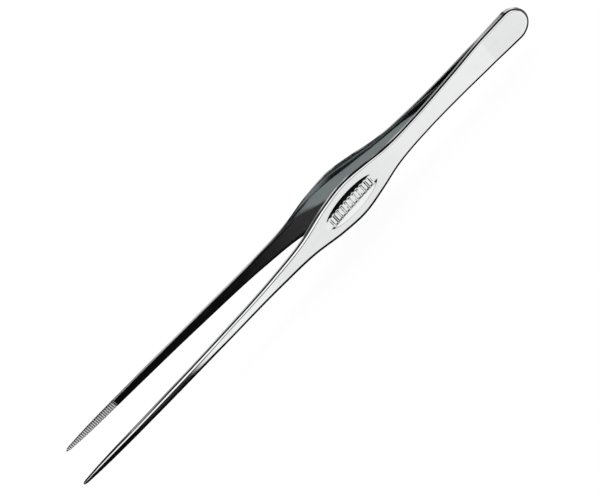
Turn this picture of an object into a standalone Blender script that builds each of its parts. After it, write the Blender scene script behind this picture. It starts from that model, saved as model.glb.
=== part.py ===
"""Long straight tweezer tongs, lying on their side edges with the jaws opening along Y.

Two identical bowed leaves of stainless strip lie face to face at a rounded head, where spot
welds join them, and spread to narrow serrated tips. Each leaf is modelled as a heel, fixed at
the head, and an arm that swings at the line where the strip bends.

Metres, +Z up. The head is at +X and the tips at -X. Distances called "along" run from the head
end towards the tips.
"""

import math

import bmesh
import bpy
from mathutils import Matrix, Vector

# Overall sizes
LENGTH = 0.270
THICKNESS = 0.00155
TIP_THICKNESS = 0.0008
TIP_THINS_FROM = 0.240
GAP = 0.0003

# Half the leaf's width, by distance along
HEAD_ROUND = 0.008
HEAD_HALF_WIDTH = 0.0074
GRIP_AT = 0.108
GRIP_HALF_WIDTH = 0.0096
HALF_WIDTHS = (
    (HEAD_ROUND, HEAD_HALF_WIDTH),
    (0.024, 0.0068),
    (0.042, 0.0057),
    (0.066, 0.00495),
    (0.085, 0.0059),
    (0.095, 0.0079),
    (GRIP_AT, GRIP_HALF_WIDTH),
    (0.120, 0.00825),
    (0.135, 0.0050),
    (0.155, 0.0033),
    (0.190, 0.0024),
    (0.230, 0.0019),
    (0.262, 0.0013),
    (LENGTH, 0.0008),
)
TIP_ROUND = 0.0020

# Distance of each leaf's inner face from the middle plane, by distance along
WELD_END = 0.023
BOWS = (
    (WELD_END, GAP / 2),
    (0.065, 0.0028),
    (0.107, 0.0064),
    (0.150, 0.0096),
    (0.200, 0.0121),
    (LENGTH, 0.0138),
)

# Crown that rounds the outer face down to its outline, by distance along
CROWN_ACROSS = (
    (0.0, 0.0016),
    (0.040, 0.0014),
    (0.066, 0.0014),
    (0.085, 0.0015),
    (GRIP_AT, 0.0017),
    (0.145, 0.0018),
    (0.180, 0.0016),
    (0.200, 0.0020),
    (LENGTH, 0.0020),
)
CROWN_DEEP = ((0.0, 0.0006), (0.240, 0.0006), (LENGTH, 0.0004))
CROWN_SHARE = 0.94
CROWN_STEPS = 5
INNER_EDGE = 0.00012

# Bending line of each leaf
BEND_AT = 0.049

# Thumb dish in the outer face of each grip, with raised grip ribs on its floor
DISH_AT = 0.109
DISH_HALF_LENGTH = 0.0165
DISH_HALF_WIDTH = 0.0052
DISH_DEPTH = 0.00055
DISH_RIM_TURN = 36.9
RIBS = 11
RIB_PITCH = 0.0024
RIB_SIZE = (0.0010, 0.00070, 0.0046)
RIB_TOP_BELOW_FACE = 0.00010

# Serrations across the inner face of each tip
TEETH = 27
TOOTH_PITCH = 0.00105
TOOTH_DEPTH = 0.00028
TOOTH_CREST = 0.00012
FIRST_TOOTH_FROM_TIP = 0.0012

# Spot welds between the leaves
WELDS_ALONG = (0.007, 0.013, 0.019)
WELD_RADIUS = 0.0020
WELD_HALF_THICKNESS = 0.0005

NEAR, FAR = -1, 1


def smooth(stations, along):
    """A value read from a smooth curve through the stations, level at each high and low."""
    places = [place for place, _ in stations]
    values = [value for _, value in stations]
    along = min(max(along, places[0]), places[-1])
    steps = [b - a for a, b in zip(places, places[1:])]
    slopes = [(b - a) / step for a, b, step in zip(values, values[1:], steps)]
    tangents = [slopes[0]]
    for first, second, before, after in zip(steps, steps[1:], slopes, slopes[1:]):
        mean = (before * second + after * first) / (first + second)
        steepest = 3 * min(abs(before), abs(after)) if before * after > 0 else 0.0
        tangents.append(math.copysign(min(abs(mean), steepest), mean))
    tangents.append(slopes[-1])
    i = max(k for k in range(len(steps)) if places[k] <= along)
    t = (along - places[i]) / steps[i]
    start = values[i] * (1 + 2 * t) * (1 - t) ** 2 + tangents[i] * steps[i] * t * (1 - t) ** 2
    end = values[i + 1] * t * t * (3 - 2 * t) - tangents[i + 1] * steps[i] * t * t * (1 - t)
    return start + end


def full_half_width(along):
    """Half the leaf's width, without the rounded ends."""
    return smooth(HALF_WIDTHS, along)


def past_ends(along):
    """How far into a rounded end a station lies: 0 before it and 1 at its outermost point."""
    head = 1 - min(along / HEAD_ROUND, 1)
    tip = 1 - min((LENGTH - along) / TIP_ROUND, 1)
    return max(head, tip)


def half_width(along):
    return full_half_width(along) * math.sqrt(max(1 - past_ends(along) ** 2, 0))


def bow(along):
    return smooth(BOWS, along)


def thickness(along):
    return smooth(((TIP_THINS_FROM, THICKNESS), (LENGTH, TIP_THICKNESS)), along)


def crown_width(along):
    return min(smooth(CROWN_ACROSS, along), full_half_width(along) * CROWN_SHARE)


def outer_face(along, across):
    """How far out the outer face lies, rounded down towards the leaf's whole outline."""
    full = full_half_width(along)
    inward = max(full * (1 - math.hypot(past_ends(along), across / full)), 0)
    left = 1 - min(inward / crown_width(along), 1)
    return thickness(along) - smooth(CROWN_DEEP, along) * (1 - math.sqrt(1 - left * left))


def place(side, along, out, across):
    """A point of a leaf: out from its inner face, and across from its centre line."""
    return Vector((LENGTH / 2 - along, side * (bow(along) + out), GRIP_HALF_WIDTH + across))


def section(along):
    """The leaf's cross-section as (out, across) pairs: flat inside and crowned outside."""
    wide = half_width(along)
    crown = min(crown_width(along), wide * CROWN_SHARE)
    chamfer = min(INNER_EDGE, wide / 4)
    upper = [(0.0, wide - chamfer), (chamfer, wide)]
    for step in range(CROWN_STEPS + 1):
        turn = math.pi / 2 * step / CROWN_STEPS
        across = wide - crown * (1 - math.cos(turn))
        upper.append((outer_face(along, across), across))
    middle = [(outer_face(along, 0), 0.0)]
    return upper + middle + [(out, -across) for out, across in reversed(upper)]


def leaf_stations(start, end):
    """Where the leaf's sections lie: close at the rounded ends and along the grip."""
    marks = [HEAD_ROUND * (1 - math.cos(math.radians(turn))) for turn in range(10, 91, 10)]
    marks += [LENGTH - TIP_ROUND * (1 - math.cos(math.radians(turn))) for turn in range(15, 91, 15)]
    marks += [0.012, 0.016, 0.020, WELD_END]
    marks += [0.026 + 0.004 * step for step in range(17)]
    marks += [0.093 + 0.003 * step for step in range(16)]
    marks += [0.144 + 0.006 * step for step in range(21)]
    inside = [mark for mark in marks if start + GAP < mark < end - GAP]
    return [start, *sorted(inside), end]


def loft_leaf(side, start, end):
    """A closed mesh through the leaf's sections from start to end, in world coordinates."""
    mesh = bmesh.new()
    rows = []
    for along in leaf_stations(start, end):
        rows.append([mesh.verts.new(place(side, along, *point)) for point in section(along)])
    for row, following in zip(rows, rows[1:]):
        for i in range(len(row)):
            j = (i + 1) % len(row)
            mesh.faces.new((row[i], row[j], following[j], following[i]))
    mesh.faces.new(rows[0])
    mesh.faces.new(rows[-1])
    bmesh.ops.recalc_face_normals(mesh, faces=mesh.faces)
    return mesh


def steel(name, colour, roughness):
    material = bpy.data.materials.new(name)
    material.use_nodes = True
    shader = material.node_tree.nodes["Principled BSDF"]
    shader.inputs["Base Color"].default_value = (*colour, 1)
    shader.inputs["Roughness"].default_value = roughness
    shader.inputs["Metallic"].default_value = 1.0
    return material


def add_object(name, mesh, collection, origin=(0, 0, 0), material=None):
    """Moves a bmesh, made in world coordinates, into a named object with the given origin."""
    mesh.transform(Matrix.Translation(-Vector(origin)))
    data = bpy.data.meshes.new(name)
    mesh.to_mesh(data)
    mesh.free()
    thing = bpy.data.objects.new(name, data)
    thing.location = origin
    collection.objects.link(thing)
    if material:
        data.materials.append(material)
    return thing


def add_cutter(name, mesh, collection, origin=(0, 0, 0)):
    cutter = add_object(name, mesh, collection, origin)
    cutter.hide_render = True
    cutter.display_type = "WIRE"
    return cutter


def add_boolean(thing, cutter, operation):
    boolean = thing.modifiers.new(cutter.name, "BOOLEAN")
    boolean.operation = operation
    boolean.solver = "EXACT"
    boolean.object = cutter


def shade_round(thing):
    thing.data.shade_smooth()
    thing.data.set_sharp_from_angle(angle=math.radians(30))


def dish_frame(side, out):
    """Local axes at the middle of the dish: X along the leaf, Y out of its face, Z across."""
    step = 0.005
    towards_head = place(side, DISH_AT - step, out, 0) - place(side, DISH_AT + step, out, 0)
    x_axis = towards_head.normalized()
    z_axis = Vector((0, 0, 1))
    y_axis = z_axis.cross(x_axis)
    frame = Matrix((x_axis, y_axis, z_axis)).transposed().to_4x4()
    frame.translation = place(side, DISH_AT, out, 0)
    return frame


def dish_cutter(name, side, collection):
    """A flattened ball that dips a cap into the grip's outer face and leaves a shallow dish."""
    rim_turn = math.radians(DISH_RIM_TURN)
    half_long = DISH_HALF_LENGTH / math.sin(rim_turn)
    half_wide = DISH_HALF_WIDTH / math.sin(rim_turn)
    half_deep = DISH_DEPTH / (1 - math.cos(rim_turn))
    frame = dish_frame(side, thickness(DISH_AT) + half_deep - DISH_DEPTH)
    shape = Matrix.Diagonal((half_long, half_deep, half_wide, 1))
    pole_out = Matrix.Rotation(math.pi / 2, 4, "X")
    ball = bmesh.new()
    bmesh.ops.create_uvsphere(
        ball,
        u_segments=40,
        v_segments=44,
        radius=1,
        matrix=frame @ shape @ pole_out,
    )
    return add_cutter(name, ball, collection)


def rib_bars(name, side, collection):
    """A row of short bars on the dish floor, standing a little below the grip's face."""
    long, deep, wide = RIB_SIZE
    top = thickness(DISH_AT) - RIB_TOP_BELOW_FACE
    frame = dish_frame(side, top - deep / 2)
    bars = bmesh.new()
    for rib in range(RIBS):
        shift = Vector(((rib - (RIBS - 1) / 2) * RIB_PITCH, 0, 0))
        shape = Matrix.Diagonal((long, deep, wide, 1))
        bmesh.ops.create_cube(bars, size=1, matrix=frame @ Matrix.Translation(shift) @ shape)
    return add_cutter(name, bars, collection)


def tooth_cutter(name, side, collection):
    """A row of diamond bars centred on the tip's inner face, each of which cuts one groove."""
    grooves = bmesh.new()
    half_groove = (TOOTH_PITCH - TOOTH_CREST) / 2
    for tooth in range(TEETH):
        along = LENGTH - FIRST_TOOTH_FROM_TIP - tooth * TOOTH_PITCH
        shape = Matrix.Diagonal((half_groove, TOOTH_DEPTH, 1, 1))
        bmesh.ops.create_cone(
            grooves,
            cap_ends=True,
            segments=4,
            radius1=1,
            radius2=1,
            depth=4 * half_width(TIP_THINS_FROM),
            matrix=Matrix.Translation(place(side, along, 0, 0)) @ shape,
        )
    return add_cutter(name, grooves, collection)


def weld_lenses(places, extra):
    """A lens at each place along, centred between the leaves and grown by extra on all sides."""
    lenses = bmesh.new()
    for along in places:
        middle = Vector((LENGTH / 2 - along, 0, GRIP_HALF_WIDTH))
        radius = WELD_RADIUS + extra
        shape = Matrix.Diagonal((radius, WELD_HALF_THICKNESS + extra, radius, 1))
        bmesh.ops.create_uvsphere(
            lenses,
            u_segments=16,
            v_segments=8,
            radius=1,
            matrix=Matrix.Translation(middle) @ shape,
        )
    return lenses


def build_leaf(label, side, parts, cutters, weld_pocket):
    """The heel and the arm of one leaf. The arm's origin is on its bending line."""
    finish = steel(f"{label}_leaf_steel", (0.80, 0.81, 0.82), 0.08)
    heel_mesh = loft_leaf(side, leaf_start(), BEND_AT - GAP / 2)
    heel = add_object(f"{label}_leaf_heel", heel_mesh, parts, material=finish)
    add_boolean(heel, weld_pocket, "DIFFERENCE")

    bend = place(side, BEND_AT, THICKNESS / 2, 0)
    arm_mesh = loft_leaf(side, BEND_AT + GAP / 2, leaf_end())
    arm = add_object(f"{label}_leaf_arm", arm_mesh, parts, bend, finish)
    add_boolean(arm, dish_cutter(f"{label}_dish", side, cutters), "DIFFERENCE")
    add_boolean(arm, rib_bars(f"{label}_ribs", side, cutters), "UNION")
    add_boolean(arm, tooth_cutter(f"{label}_teeth", side, cutters), "DIFFERENCE")
    for piece in (heel, arm):
        shade_round(piece)


def leaf_start():
    """The first section, a little inside the head's round end, where the end is cut flat."""
    return HEAD_ROUND * (1 - math.cos(math.radians(5)))


def leaf_end():
    return LENGTH - TIP_ROUND * (1 - math.cos(math.radians(8)))


def new_collection(name):
    collection = bpy.data.collections.new(name)
    bpy.context.scene.collection.children.link(collection)
    return collection


def main():
    for thing in list(bpy.data.objects):
        bpy.data.objects.remove(thing, do_unlink=True)
    parts = new_collection("tweezer_tongs")
    cutters = new_collection("cutters")
    weld_pocket = add_cutter("weld_pockets", weld_lenses(WELDS_ALONG, GAP), cutters)
    build_leaf("near", NEAR, parts, cutters, weld_pocket)
    build_leaf("far", FAR, parts, cutters, weld_pocket)
    weld_steel = steel("weld_steel", (0.62, 0.62, 0.63), 0.35)
    for number, along in enumerate(WELDS_ALONG, 1):
        lens = weld_lenses([along], 0)
        shade_round(add_object(f"spot_weld_{number}", lens, parts, material=weld_steel))


main()
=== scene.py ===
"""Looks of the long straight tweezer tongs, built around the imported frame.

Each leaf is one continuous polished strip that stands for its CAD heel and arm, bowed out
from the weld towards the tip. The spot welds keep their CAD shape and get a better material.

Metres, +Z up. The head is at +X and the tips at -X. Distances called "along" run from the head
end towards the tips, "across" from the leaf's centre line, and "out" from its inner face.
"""

import math

import bmesh
import bpy
from mathutils import Matrix, Vector


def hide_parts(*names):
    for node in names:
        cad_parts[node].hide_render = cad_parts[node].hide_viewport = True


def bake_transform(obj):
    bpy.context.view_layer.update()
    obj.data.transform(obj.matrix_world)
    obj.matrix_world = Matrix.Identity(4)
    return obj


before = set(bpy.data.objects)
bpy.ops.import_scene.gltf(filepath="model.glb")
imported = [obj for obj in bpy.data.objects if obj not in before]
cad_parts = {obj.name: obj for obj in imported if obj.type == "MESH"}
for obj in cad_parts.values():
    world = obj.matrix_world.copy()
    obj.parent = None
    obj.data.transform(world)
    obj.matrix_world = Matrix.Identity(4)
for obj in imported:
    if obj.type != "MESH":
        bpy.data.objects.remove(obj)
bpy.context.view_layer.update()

# Overall sizes
LENGTH = 0.270
THICKNESS = 0.00155
TIP_THICKNESS = 0.0008
TIP_THINS_FROM = 0.240
GAP = 0.0003

# Half the leaf's width, by distance along
HEAD_ROUND = 0.008
HEAD_HALF_WIDTH = 0.0074
GRIP_AT = 0.108
GRIP_HALF_WIDTH = 0.0096
HALF_WIDTHS = (
    (HEAD_ROUND, HEAD_HALF_WIDTH),
    (0.024, 0.0068),
    (0.042, 0.0057),
    (0.066, 0.00495),
    (0.085, 0.0059),
    (0.095, 0.0079),
    (GRIP_AT, GRIP_HALF_WIDTH),
    (0.120, 0.00825),
    (0.135, 0.0050),
    (0.155, 0.0033),
    (0.190, 0.0024),
    (0.230, 0.0019),
    (0.262, 0.0013),
    (LENGTH, 0.0008),
)
TIP_ROUND = 0.0020

# Distance of each leaf's inner face from the middle plane, by distance along
WELD_END = 0.023
BOWS = (
    (WELD_END, GAP / 2),
    (0.065, 0.0028),
    (0.107, 0.0064),
    (0.150, 0.0096),
    (0.200, 0.0121),
    (LENGTH, 0.0138),
)
SEAM = 0.00003
SEAM_END = 0.040

# Outer edges: a flat side, then a crown with an elliptic section, by distance along
CROWN_ACROSS = (
    (0.0, 0.0016),
    (0.040, 0.0014),
    (0.066, 0.0014),
    (0.085, 0.0015),
    (GRIP_AT, 0.0017),
    (0.145, 0.0018),
    (0.180, 0.0016),
    (0.200, 0.0020),
    (LENGTH, 0.0020),
)
CROWN_DEEP = ((0.0, 0.0006), (0.240, 0.0006), (LENGTH, 0.0004))
CROWN_SHARE = 0.94
CROWN_STEPS = 18

# A slight, softly started bevel between the flat face and the crown, over a share of the
# crown's width, by distance along
BEVEL_SHARE = 0.2
BEVEL_SHARES = ((0.045, 0.0), (0.062, BEVEL_SHARE), (0.180, BEVEL_SHARE), (0.200, 0.0))
BEVEL_SLOPE = 0.075
BEVEL_SOFT = 0.05

# Inner edges, as a quarter round, and the rows and columns of a leaf's mesh
INNER_EDGE = 0.00012
INNER_EDGE_SHARE = 0.25
INNER_EDGE_STEPS = 3
INNER_COLUMNS = (0.6, 0.2)
FLAT_COLUMNS = 4
STATION_PITCH = 0.001
HEAD_ROUND_TURN = 4
TIP_ROUND_TURN = 6
SHARP_TURN = 32
MM_PER_M = 1000

# Thumb dish in the outer face of each grip, with raised grip ribs on its floor
DISH_AT = 0.109
DISH_HALF_LENGTH = 0.0159
DISH_HALF_WIDTH = 0.0052
DISH_DEPTH = 0.00055
DISH_RIM = 0.00003
RIM_COLUMNS = (0.75, 0.5, 0.3, 0.15, 0.06)
LEAST_RIM_SHARE = 0.08
DISH_COLUMNS = 18
PATCH_PITCH = 0.0002
PATCH_HALF_LENGTH = 0.0166
RIBS = 11
RIB_PITCH = 0.0024
RIB_SIZE = (0.0010, 0.0046)
RIB_TOP_BELOW_FACE = 0.00010
RIB_EDGE = 0.0003

# Serrations across the inner face of each tip
TEETH = 27
TOOTH_PITCH = 0.00105
TOOTH_DEPTH = 0.00028
TOOTH_CREST = 0.00012
FIRST_TOOTH_FROM_TIP = 0.0012

# Camera, as turned and placed for the photograph's view
CAMERA_HEIGHT_TURN = 32.26
CAMERA_SIDE_TURN = -0.86
CAMERA_ROLL = 45.37
CAMERA_AIM = (-0.000218, -0.003833)
CAMERA_DISTANCE = 0.610
CAMERA_LENS = 86.73

# A pitch past every direction, for a card that is open at one side
PAST_ALL = 400

NEAR, FAR = -1, 1


def smooth(stations, along):
    """A value read from a smooth curve through the stations, level at each high and low."""
    places = [place for place, _ in stations]
    values = [value for _, value in stations]
    along = min(max(along, places[0]), places[-1])
    steps = [b - a for a, b in zip(places, places[1:])]
    slopes = [(b - a) / step for a, b, step in zip(values, values[1:], steps)]
    tangents = [slopes[0]]
    for first, second, before, after in zip(steps, steps[1:], slopes, slopes[1:]):
        mean = (before * second + after * first) / (first + second)
        steepest = 3 * min(abs(before), abs(after)) if before * after > 0 else 0.0
        tangents.append(math.copysign(min(abs(mean), steepest), mean))
    tangents.append(slopes[-1])
    i = max(k for k in range(len(steps)) if places[k] <= along)
    t = (along - places[i]) / steps[i]
    start = values[i] * (1 + 2 * t) * (1 - t) ** 2 + tangents[i] * steps[i] * t * (1 - t) ** 2
    end = values[i + 1] * t * t * (3 - 2 * t) - tangents[i + 1] * steps[i] * t * t * (1 - t)
    return start + end


def ease(value, low, high):
    """0 below low and 1 above high, with a smooth rise between."""
    t = min(max((value - low) / (high - low), 0), 1)
    return t * t * (3 - 2 * t)


# Shape of a leaf


def full_half_width(along):
    """Half the leaf's width, without the rounded ends."""
    return smooth(HALF_WIDTHS, along)


def past_ends(along):
    """How far into a rounded end a station lies: 0 before it and 1 at its outermost point."""
    head = 1 - min(along / HEAD_ROUND, 1)
    tip = 1 - min((LENGTH - along) / TIP_ROUND, 1)
    return max(head, tip)


def half_width(along):
    return full_half_width(along) * math.sqrt(max(1 - past_ends(along) ** 2, 0))


def seam_closed(along):
    """How far each leaf reaches into the CAD's gap at the head, to leave only a hairline."""
    return (GAP / 2 - SEAM) * (1 - ease(along, WELD_END, SEAM_END))


def bow(along):
    """Distance of the inner face from the middle plane."""
    return smooth(BOWS, along) - seam_closed(along)


def thickness(along):
    thinned = smooth(((TIP_THINS_FROM, THICKNESS), (LENGTH, TIP_THICKNESS)), along)
    return thinned + seam_closed(along)


def crown_width(along):
    return min(smooth(CROWN_ACROSS, along), full_half_width(along) * CROWN_SHARE)


def outer_face(along, across):
    """How far out the outer face lies, rounded down towards the leaf's whole outline."""
    full = full_half_width(along)
    crown = crown_width(along)
    inward = max(full * (1 - math.hypot(past_ends(along), across / full)), 0)
    gone = 1 - min(inward / crown, 1)
    bevel = smooth(BEVEL_SHARES, along)
    slope = BEVEL_SLOPE * bevel / BEVEL_SHARE
    bevelled = slope * crown * (math.hypot(gone, BEVEL_SOFT) - BEVEL_SOFT)
    deep = smooth(CROWN_DEEP, along) - slope * crown
    left = max((gone - bevel) / (1 - bevel), 0)
    return thickness(along) - bevelled - deep * (1 - math.sqrt(1 - left * left))


def dish_rim(along):
    """Half the width of the dish where it meets the outer face."""
    from_middle = (along - DISH_AT) / DISH_HALF_LENGTH
    return DISH_HALF_WIDTH * math.sqrt(max(1 - from_middle**2, 0))


def rib_height(along, across):
    """Height of the rounded grip ribs over the dish floor, as a share of their full height."""
    long, wide = RIB_SIZE
    rib = round((along - DISH_AT) / RIB_PITCH)
    if abs(rib) > (RIBS - 1) // 2:
        return 0.0
    from_rib = abs(along - DISH_AT - rib * RIB_PITCH)
    end = max(abs(across) - (wide - long) / 2, 0)
    inside = long / 2 - math.hypot(from_rib, end)
    return ease(inside, -RIB_EDGE / 3, RIB_EDGE)


def dish_depth(along, across):
    """Depth of the dish below the outer face, with its ribs and a softly rounded rim."""
    spread_out = ((along - DISH_AT) / DISH_HALF_LENGTH) ** 2 + (across / DISH_HALF_WIDTH) ** 2
    bowl = DISH_DEPTH * (1 - spread_out)
    softened = (bowl + math.hypot(bowl, DISH_RIM)) / 2
    rise = max(softened - RIB_TOP_BELOW_FACE, 0) * rib_height(along, across)
    return softened - rise


def tooth_depth(along):
    """Depth of the serrations' grooves at a station."""
    from_first = LENGTH - FIRST_TOOTH_FROM_TIP - along
    tooth = round(from_first / TOOTH_PITCH)
    if not 0 <= tooth < TEETH:
        return 0.0
    half_groove = (TOOTH_PITCH - TOOTH_CREST) / 2
    from_groove = abs(from_first - tooth * TOOTH_PITCH)
    return TOOTH_DEPTH * max(1 - from_groove / half_groove, 0)


def stations():
    """Where the leaf's rows lie: close at both ends, along the dish and at each groove."""
    head_turns = range(HEAD_ROUND_TURN, 91, HEAD_ROUND_TURN)
    tip_turns = range(TIP_ROUND_TURN, 91, TIP_ROUND_TURN)
    marks = [HEAD_ROUND * (1 - math.cos(math.radians(turn))) for turn in head_turns]
    marks += [LENGTH - TIP_ROUND * (1 - math.cos(math.radians(turn))) for turn in tip_turns]
    steps = round((LENGTH - TIP_ROUND - HEAD_ROUND) / STATION_PITCH)
    marks += [HEAD_ROUND + step * STATION_PITCH for step in range(1, steps)]
    marks = [mark for mark in marks if not in_patch(mark) and not in_teeth(mark)]
    patch_rows = round(2 * PATCH_HALF_LENGTH / PATCH_PITCH)
    marks += [DISH_AT - PATCH_HALF_LENGTH + row * PATCH_PITCH for row in range(patch_rows + 1)]
    half_groove = (TOOTH_PITCH - TOOTH_CREST) / 2
    for tooth in range(TEETH):
        middle = LENGTH - FIRST_TOOTH_FROM_TIP - tooth * TOOTH_PITCH
        marks += [middle - half_groove, middle, middle + half_groove]
    return sorted(marks)


def in_patch(along):
    return abs(along - DISH_AT) < PATCH_HALF_LENGTH + STATION_PITCH / 2


def in_teeth(along):
    first = LENGTH - FIRST_TOOTH_FROM_TIP + TOOTH_PITCH / 2
    last = LENGTH - FIRST_TOOTH_FROM_TIP - (TEETH - 0.5) * TOOTH_PITCH
    return last - TOOTH_PITCH / 2 < along < first


def fine_columns(along, flat):
    """Positions across one half of the grip's outer face, with one line on the dish's rim."""
    rim = max(dish_rim(along), flat * LEAST_RIM_SHARE)
    beyond = [rim + (flat - rim) * share for share in RIM_COLUMNS]
    within = [rim * (1 - column / DISH_COLUMNS) for column in range(DISH_COLUMNS + 1)]
    return beyond + within


def coarse_columns(flat):
    return [flat * (1 - column / FLAT_COLUMNS) for column in range(1, FLAT_COLUMNS + 1)]


def outer_rows(along, fine):
    """The outer side of a section from its upper to its lower edge, as (out, across) pairs."""
    wide = half_width(along)
    crown = min(crown_width(along), wide * CROWN_SHARE)
    turns = [math.pi / 2 * step / CROWN_STEPS for step in range(CROWN_STEPS + 1)]
    edge = [wide - crown * (1 - math.cos(turn)) for turn in turns]
    flat = wide - crown
    middle = fine_columns(along, flat) if fine else coarse_columns(flat)
    half = edge + middle
    whole = half + [-across for across in reversed(half[:-1])]
    rows = []
    for across in whole:
        sunk = dish_depth(along, across) if fine else 0.0
        rows.append((outer_face(along, across) - sunk, across))
    return rows, len(edge) - 1


def inner_rows(along):
    """The inner side of a section from its lower to its upper edge, as (out, across) pairs."""
    wide = half_width(along)
    radius = min(INNER_EDGE, wide * INNER_EDGE_SHARE)
    groove = tooth_depth(along)
    edge = []
    for step in range(INNER_EDGE_STEPS + 1):
        turn = math.pi / 2 * step / INNER_EDGE_STEPS
        out = groove + radius * (1 - math.sin(turn))
        edge.append((out, wide - radius * (1 - math.cos(turn))))
    flat = wide - radius
    middle = [(groove, flat * share) for share in INNER_COLUMNS]
    half = edge + middle
    whole = half + [(out, -across) for out, across in reversed(half)]
    return list(reversed(whole))


def build_leaf(name, side):
    """One continuous leaf, in world coordinates. Each point keeps its place, in mm along, across
    and out, for the material.
    """
    mesh = bmesh.new()
    kept = mesh.verts.layers.float_vector.new("leaf_place")

    def add_row(along, points):
        row = []
        for out, across in points:
            where = (LENGTH / 2 - along, side * (bow(along) + out), GRIP_HALF_WIDTH + across)
            point = mesh.verts.new(where)
            point[kept] = Vector((along, across, out)) * MM_PER_M
            row.append(point)
        return row

    def join(row, following):
        """Quads between two rows of the same length."""
        for a, b, c, d in zip(row, row[1:], following[1:], following):
            mesh.faces.new((a, b, c, d))

    before = None
    for along in stations():
        fine = abs(along - DISH_AT) <= PATCH_HALF_LENGTH + STATION_PITCH / 4
        points, edge = outer_rows(along, fine)
        outer = add_row(along, points)
        inner = add_row(along, inner_rows(along))
        if before is None:
            mesh.faces.new(outer + inner)
        else:
            outer_before, inner_before, fine_before = before
            if fine == fine_before:
                join(outer_before, outer)
            else:
                join(outer_before[: edge + 1], outer[: edge + 1])
                join(outer_before[-edge - 1 :], outer[-edge - 1 :])
                middle = outer[edge : len(outer) - edge]
                middle_before = outer_before[edge : len(outer_before) - edge]
                mesh.faces.new(middle_before + middle[::-1])
            join(inner_before, inner)
            join([outer_before[-1], inner_before[0]], [outer[-1], inner[0]])
            join([inner_before[-1], outer_before[0]], [inner[-1], outer[0]])
        before = outer, inner, fine
    mesh.faces.new(before[0] + before[1])
    bmesh.ops.recalc_face_normals(mesh, faces=mesh.faces)
    data = bpy.data.meshes.new(name)
    mesh.to_mesh(data)
    mesh.free()
    data.shade_smooth()
    data.set_sharp_from_angle(angle=math.radians(SHARP_TURN))
    leaf = bpy.data.objects.new(name, data)
    bpy.context.scene.collection.objects.link(leaf)
    return leaf


# Shader helpers


def feed(tree, socket, value):
    """Sets a socket to a number, or links another socket to it."""
    if isinstance(value, (int, float, tuple)):
        socket.default_value = value
    else:
        tree.links.new(value, socket)


def calc(tree, operation, *values):
    node = tree.nodes.new("ShaderNodeMath")
    node.operation = operation
    for socket, value in zip(node.inputs, values):
        feed(tree, socket, value)
    return node.outputs[0]


def spread(tree, value, low, high, to_low=0.0, to_high=1.0):
    """Maps a value between two limits to two others, with a smooth rise."""
    node = tree.nodes.new("ShaderNodeMapRange")
    node.interpolation_type = "SMOOTHSTEP"
    for socket, number in zip(node.inputs, (value, low, high, to_low, to_high)):
        feed(tree, socket, number)
    return node.outputs[0]


def blend_colours(tree, share, first, second):
    node = tree.nodes.new("ShaderNodeMix")
    node.data_type = "RGBA"
    feed(tree, node.inputs["Factor"], share)
    colours = [socket for socket in node.inputs if socket.type == "RGBA"]
    feed(tree, colours[0], first)
    feed(tree, colours[1], second)
    return next(socket for socket in node.outputs if socket.type == "RGBA")


def noise(tree, place, stretch, scale, detail=3.0, roughness=0.5):
    """Noise over a place that is stretched first, so that a scale of 1 is one per millimetre."""
    sized = tree.nodes.new("ShaderNodeVectorMath")
    sized.operation = "MULTIPLY"
    feed(tree, sized.inputs[0], place)
    sized.inputs[1].default_value = stretch
    node = tree.nodes.new("ShaderNodeTexNoise")
    feed(tree, node.inputs["Vector"], sized.outputs[0])
    node.inputs["Scale"].default_value = scale
    node.inputs["Detail"].default_value = detail
    node.inputs["Roughness"].default_value = roughness
    return node.outputs["Fac"]


def bump(tree, height, distance, strength):
    node = tree.nodes.new("ShaderNodeBump")
    node.inputs["Strength"].default_value = strength
    node.inputs["Distance"].default_value = distance
    feed(tree, node.inputs["Height"], height)
    return node.outputs[0]


def new_material(name):
    material = bpy.data.materials.new(name)
    material.use_nodes = True
    return material, material.node_tree, material.node_tree.nodes["Principled BSDF"]


def polished_steel():
    """Mirror-polished stainless strip: faint lengthwise polish lines, wipe marks and specks."""
    material, tree, shader = new_material("polished_stainless_steel")
    attribute = tree.nodes.new("ShaderNodeAttribute")
    attribute.attribute_name = "leaf_place"
    place = attribute.outputs["Vector"]
    lines = noise(tree, place, (0.05, 7.0, 7.0), 1.0, 4.0)
    marks = noise(tree, place, (0.10, 0.35, 0.35), 1.0, 4.0)
    specks = noise(tree, place, (1.0, 1.0, 1.0), 2.4, 2.0)
    roughness = spread(tree, lines, 0.35, 0.75, 0.035, 0.085)
    smeared = calc(tree, "ADD", roughness, spread(tree, marks, 0.45, 0.75, 0.0, 0.05))
    speckled = calc(tree, "ADD", smeared, spread(tree, specks, 0.66, 0.78, 0.0, 0.05))
    feed(tree, shader.inputs["Roughness"], speckled)
    tone = blend_colours(tree, marks, (0.90, 0.905, 0.91, 1), (0.86, 0.865, 0.87, 1))
    feed(tree, shader.inputs["Base Color"], tone)
    shader.inputs["Metallic"].default_value = 1.0
    feed(tree, shader.inputs["Normal"], bump(tree, lines, 0.000002, 0.4))
    return material


def weld_steel():
    """Fused steel of a resistance weld: dull, uneven and faintly straw-coloured by heat."""
    material, tree, shader = new_material("fused_weld_steel")
    coordinates = tree.nodes.new("ShaderNodeTexCoord")
    place = coordinates.outputs["Object"]
    grain = noise(tree, place, (1000.0, 1000.0, 1000.0), 3.0, 5.0)
    patches = noise(tree, place, (1000.0, 1000.0, 1000.0), 0.5, 2.0)
    tint = blend_colours(tree, patches, (0.50, 0.49, 0.47, 1), (0.55, 0.49, 0.38, 1))
    feed(tree, shader.inputs["Base Color"], tint)
    feed(tree, shader.inputs["Roughness"], spread(tree, grain, 0.3, 0.7, 0.32, 0.55))
    shader.inputs["Metallic"].default_value = 1.0
    feed(tree, shader.inputs["Normal"], bump(tree, grain, 0.00002, 0.6))
    return material


# Studio


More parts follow.
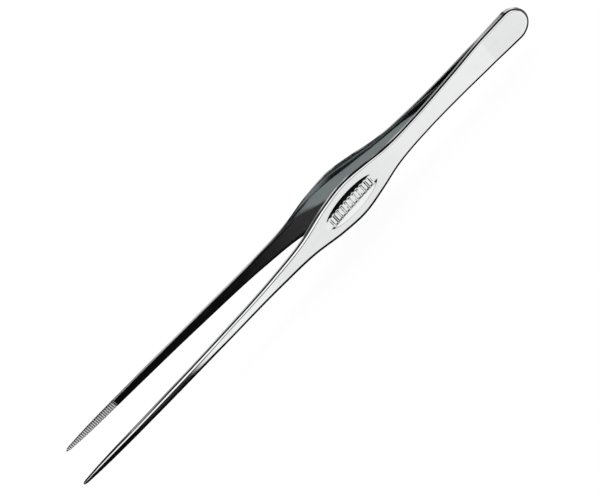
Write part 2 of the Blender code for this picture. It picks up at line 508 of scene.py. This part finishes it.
def studio_world():
    """A light tent seen only in the steel, by direction. The camera sees a white background.

    Pitch runs from 0 at the front horizon over the top to 180 at the back horizon, and from 0
    down to -180. Side is the turn towards the head. Both are in degrees.
    """
    world = bpy.data.worlds.new("studio")
    bpy.context.scene.world = world
    world.use_nodes = True
    tree = world.node_tree
    tree.nodes.clear()
    coordinates = tree.nodes.new("ShaderNodeTexCoord")
    parts = tree.nodes.new("ShaderNodeSeparateXYZ")
    feed(tree, parts.inputs[0], coordinates.outputs["Generated"])
    to_front = calc(tree, "MULTIPLY", parts.outputs["Y"], -1.0)
    pitch = calc(tree, "DEGREES", calc(tree, "ARCTAN2", parts.outputs["Z"], to_front))
    side = calc(tree, "DEGREES", calc(tree, "ARCSINE", parts.outputs["X"]))
    towards_head = spread(tree, side, 4, 9)
    lowered = calc(tree, "ADD", pitch, calc(tree, "MULTIPLY", towards_head, 4.0))
    colour = (0.004, 0.004, 0.0045, 1)

    def card(name, shade, low, high, soft, *sides, tint=1.0, angle=pitch):
        """Paints a band of pitch a shade of grey, over the cards before it.

        Each pair of sides fades the card in, from none at the first to all at the second. A
        tint above 1 cools the grey.
        """
        nonlocal colour
        rise = spread(tree, angle, low - soft, low + soft)
        fall = spread(tree, angle, high - soft, high + soft)
        share = calc(tree, "SUBTRACT", rise, fall)
        for none, full in sides:
            share = calc(tree, "MULTIPLY", share, spread(tree, side, none, full))
        colour = blend_colours(tree, share, colour, (shade, shade * tint, shade * tint, 1))
        colour.node.label = name

    card("strip light", 1.12, -17.5, 3, 1.0, angle=lowered)
    card("strip light, head end", 0.99, -17.5, 3, 1.0, (6, 9), angle=lowered)
    card("strip light, tip end", 0.20, -17.5, 3, 1.0, (-11.6, -12.6), angle=lowered)
    card("glow by the panel", 0.035, -38, -27, 3, (-6.9, -5.8), (-2.5, -4))
    card("panel", 0.89, -43, -25.5, 1.0, (-2.5, -0.5))
    card("panel, tip end", 0.985, -43, -25.5, 1.0, (-2.5, -0.5), (6, 3.5))
    card("panel, head end", 0.955, -43, -25.5, 1.0, (-2.5, -0.5), (13, 16))
    card("dark wall past the head", 0.06, -90, 8, 2, (26, 29))
    card("grey wall past the tips", 0.50, -85, -50, 4, (-42, -46))
    card("dim wall past the tips", 0.22, -36, -18, 2, (-21, -23), tint=1.12)
    card("dim wall's dark end", 0.02, -38, -18, 2, (-33, -36))

    card("ceiling behind", 0.62, 132, PAST_ALL, 5)
    card("ceiling, grey stretch", 0.36, 132, 166, 2, (0, 2), (9, 7))
    card("ceiling, dark stretch", 0.08, 132, 166, 2, (9, 12.8), (19, 17.5))
    card("ceiling, dim stretch", 0.30, 8, 160, 2, (-10.2, -9.4), (-6.2, -7.2))
    card("ceiling, black end", 0.01, 8, 160, 2, (-9.4, -10.2))
    card("backdrop above the horizon", 1.05, 168, PAST_ALL, 9)
    card("backdrop below the horizon", 1.05, -PAST_ALL, -165, 6)
    card("bench behind", 0.225, -162, -122, 5, tint=1.12)
    card("bench, dark stretch", 0.008, -PAST_ALL, -122, 5, (-14.2, -15.2))
    card("bench, near grey stretch", 0.21, -149, -122, 1.5, (-24, -27), tint=1.12)
    card("bench, far dim stretch", 0.05, -PAST_ALL, -149, 1.5, (-24, -27), tint=1.12)
    card("bench, dark end", 0.008, -PAST_ALL, -122, 5, (-36.5, -38.5))

    light = tree.nodes.new("ShaderNodeBackground")
    feed(tree, light.inputs["Color"], colour)
    seen = tree.nodes.new("ShaderNodeBackground")
    seen.inputs["Color"].default_value = (1, 1, 1, 1)
    rays = tree.nodes.new("ShaderNodeLightPath")
    choice = tree.nodes.new("ShaderNodeMixShader")
    feed(tree, choice.inputs[0], rays.outputs["Is Camera Ray"])
    tree.links.new(light.outputs[0], choice.inputs[1])
    tree.links.new(seen.outputs[0], choice.inputs[2])
    output = tree.nodes.new("ShaderNodeOutputWorld")
    tree.links.new(choice.outputs[0], output.inputs["Surface"])


def studio_floor():
    """A pale lit table top under the tongs."""
    bpy.ops.mesh.primitive_plane_add(size=6.0, location=(0, 0, 0))
    floor = bpy.context.object
    floor.name = "floor"
    material, tree, shader = new_material("pale_table")
    shader.inputs["Base Color"].default_value = (0.9, 0.9, 0.9, 1)
    shader.inputs["Roughness"].default_value = 1.0
    shader.inputs["Emission Color"].default_value = (1, 1, 1, 1)
    shader.inputs["Emission Strength"].default_value = 0.95
    floor.data.materials.append(material)
    floor.visible_glossy = False
    return floor


def studio_camera():
    """A camera turned up, aside and then rolled, as the photograph's is."""
    up, aside, roll = (
        math.radians(turn) for turn in (CAMERA_HEIGHT_TURN, CAMERA_SIDE_TURN, CAMERA_ROLL)
    )
    raised = Matrix((
        (1, 0, 0),
        (0, math.sin(up), math.cos(up)),
        (0, -math.cos(up), math.sin(up)),
    ))
    turned = Matrix((
        (math.cos(aside), 0, -math.sin(aside)),
        (0, 1, 0),
        (math.sin(aside), 0, math.cos(aside)),
    ))
    rolled = Matrix((
        (math.cos(roll), -math.sin(roll), 0),
        (math.sin(roll), math.cos(roll), 0),
        (0, 0, 1),
    ))
    axes = rolled @ turned @ raised
    data = bpy.data.cameras.new("camera")
    data.lens = CAMERA_LENS
    data.sensor_width = 36
    data.clip_start = 0.01
    camera = bpy.data.objects.new("camera", data)
    bpy.context.scene.collection.objects.link(camera)
    aim = Vector((*CAMERA_AIM, CAMERA_DISTANCE))
    place = axes.transposed() @ aim + Vector((0, 0, GRIP_HALF_WIDTH))
    camera.matrix_world = Matrix.Translation(place) @ axes.transposed().to_4x4()
    bpy.context.scene.camera = camera


def add_leaves():
    finish = polished_steel()
    for label, side in (("near", NEAR), ("far", FAR)):
        leaf = build_leaf(f"{label}_leaf", side)
        leaf.data.materials.append(finish)
        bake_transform(leaf)
        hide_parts(f"{label}_leaf_heel", f"{label}_leaf_arm")


def finish_welds():
    finish = weld_steel()
    for name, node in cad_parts.items():
        if name.startswith("spot_weld"):
            node.data.materials.clear()
            node.data.materials.append(finish)


studio_camera()
studio_world()
studio_floor()
add_leaves()
finish_welds()
bpy.context.scene.view_settings.view_transform = "Standard"
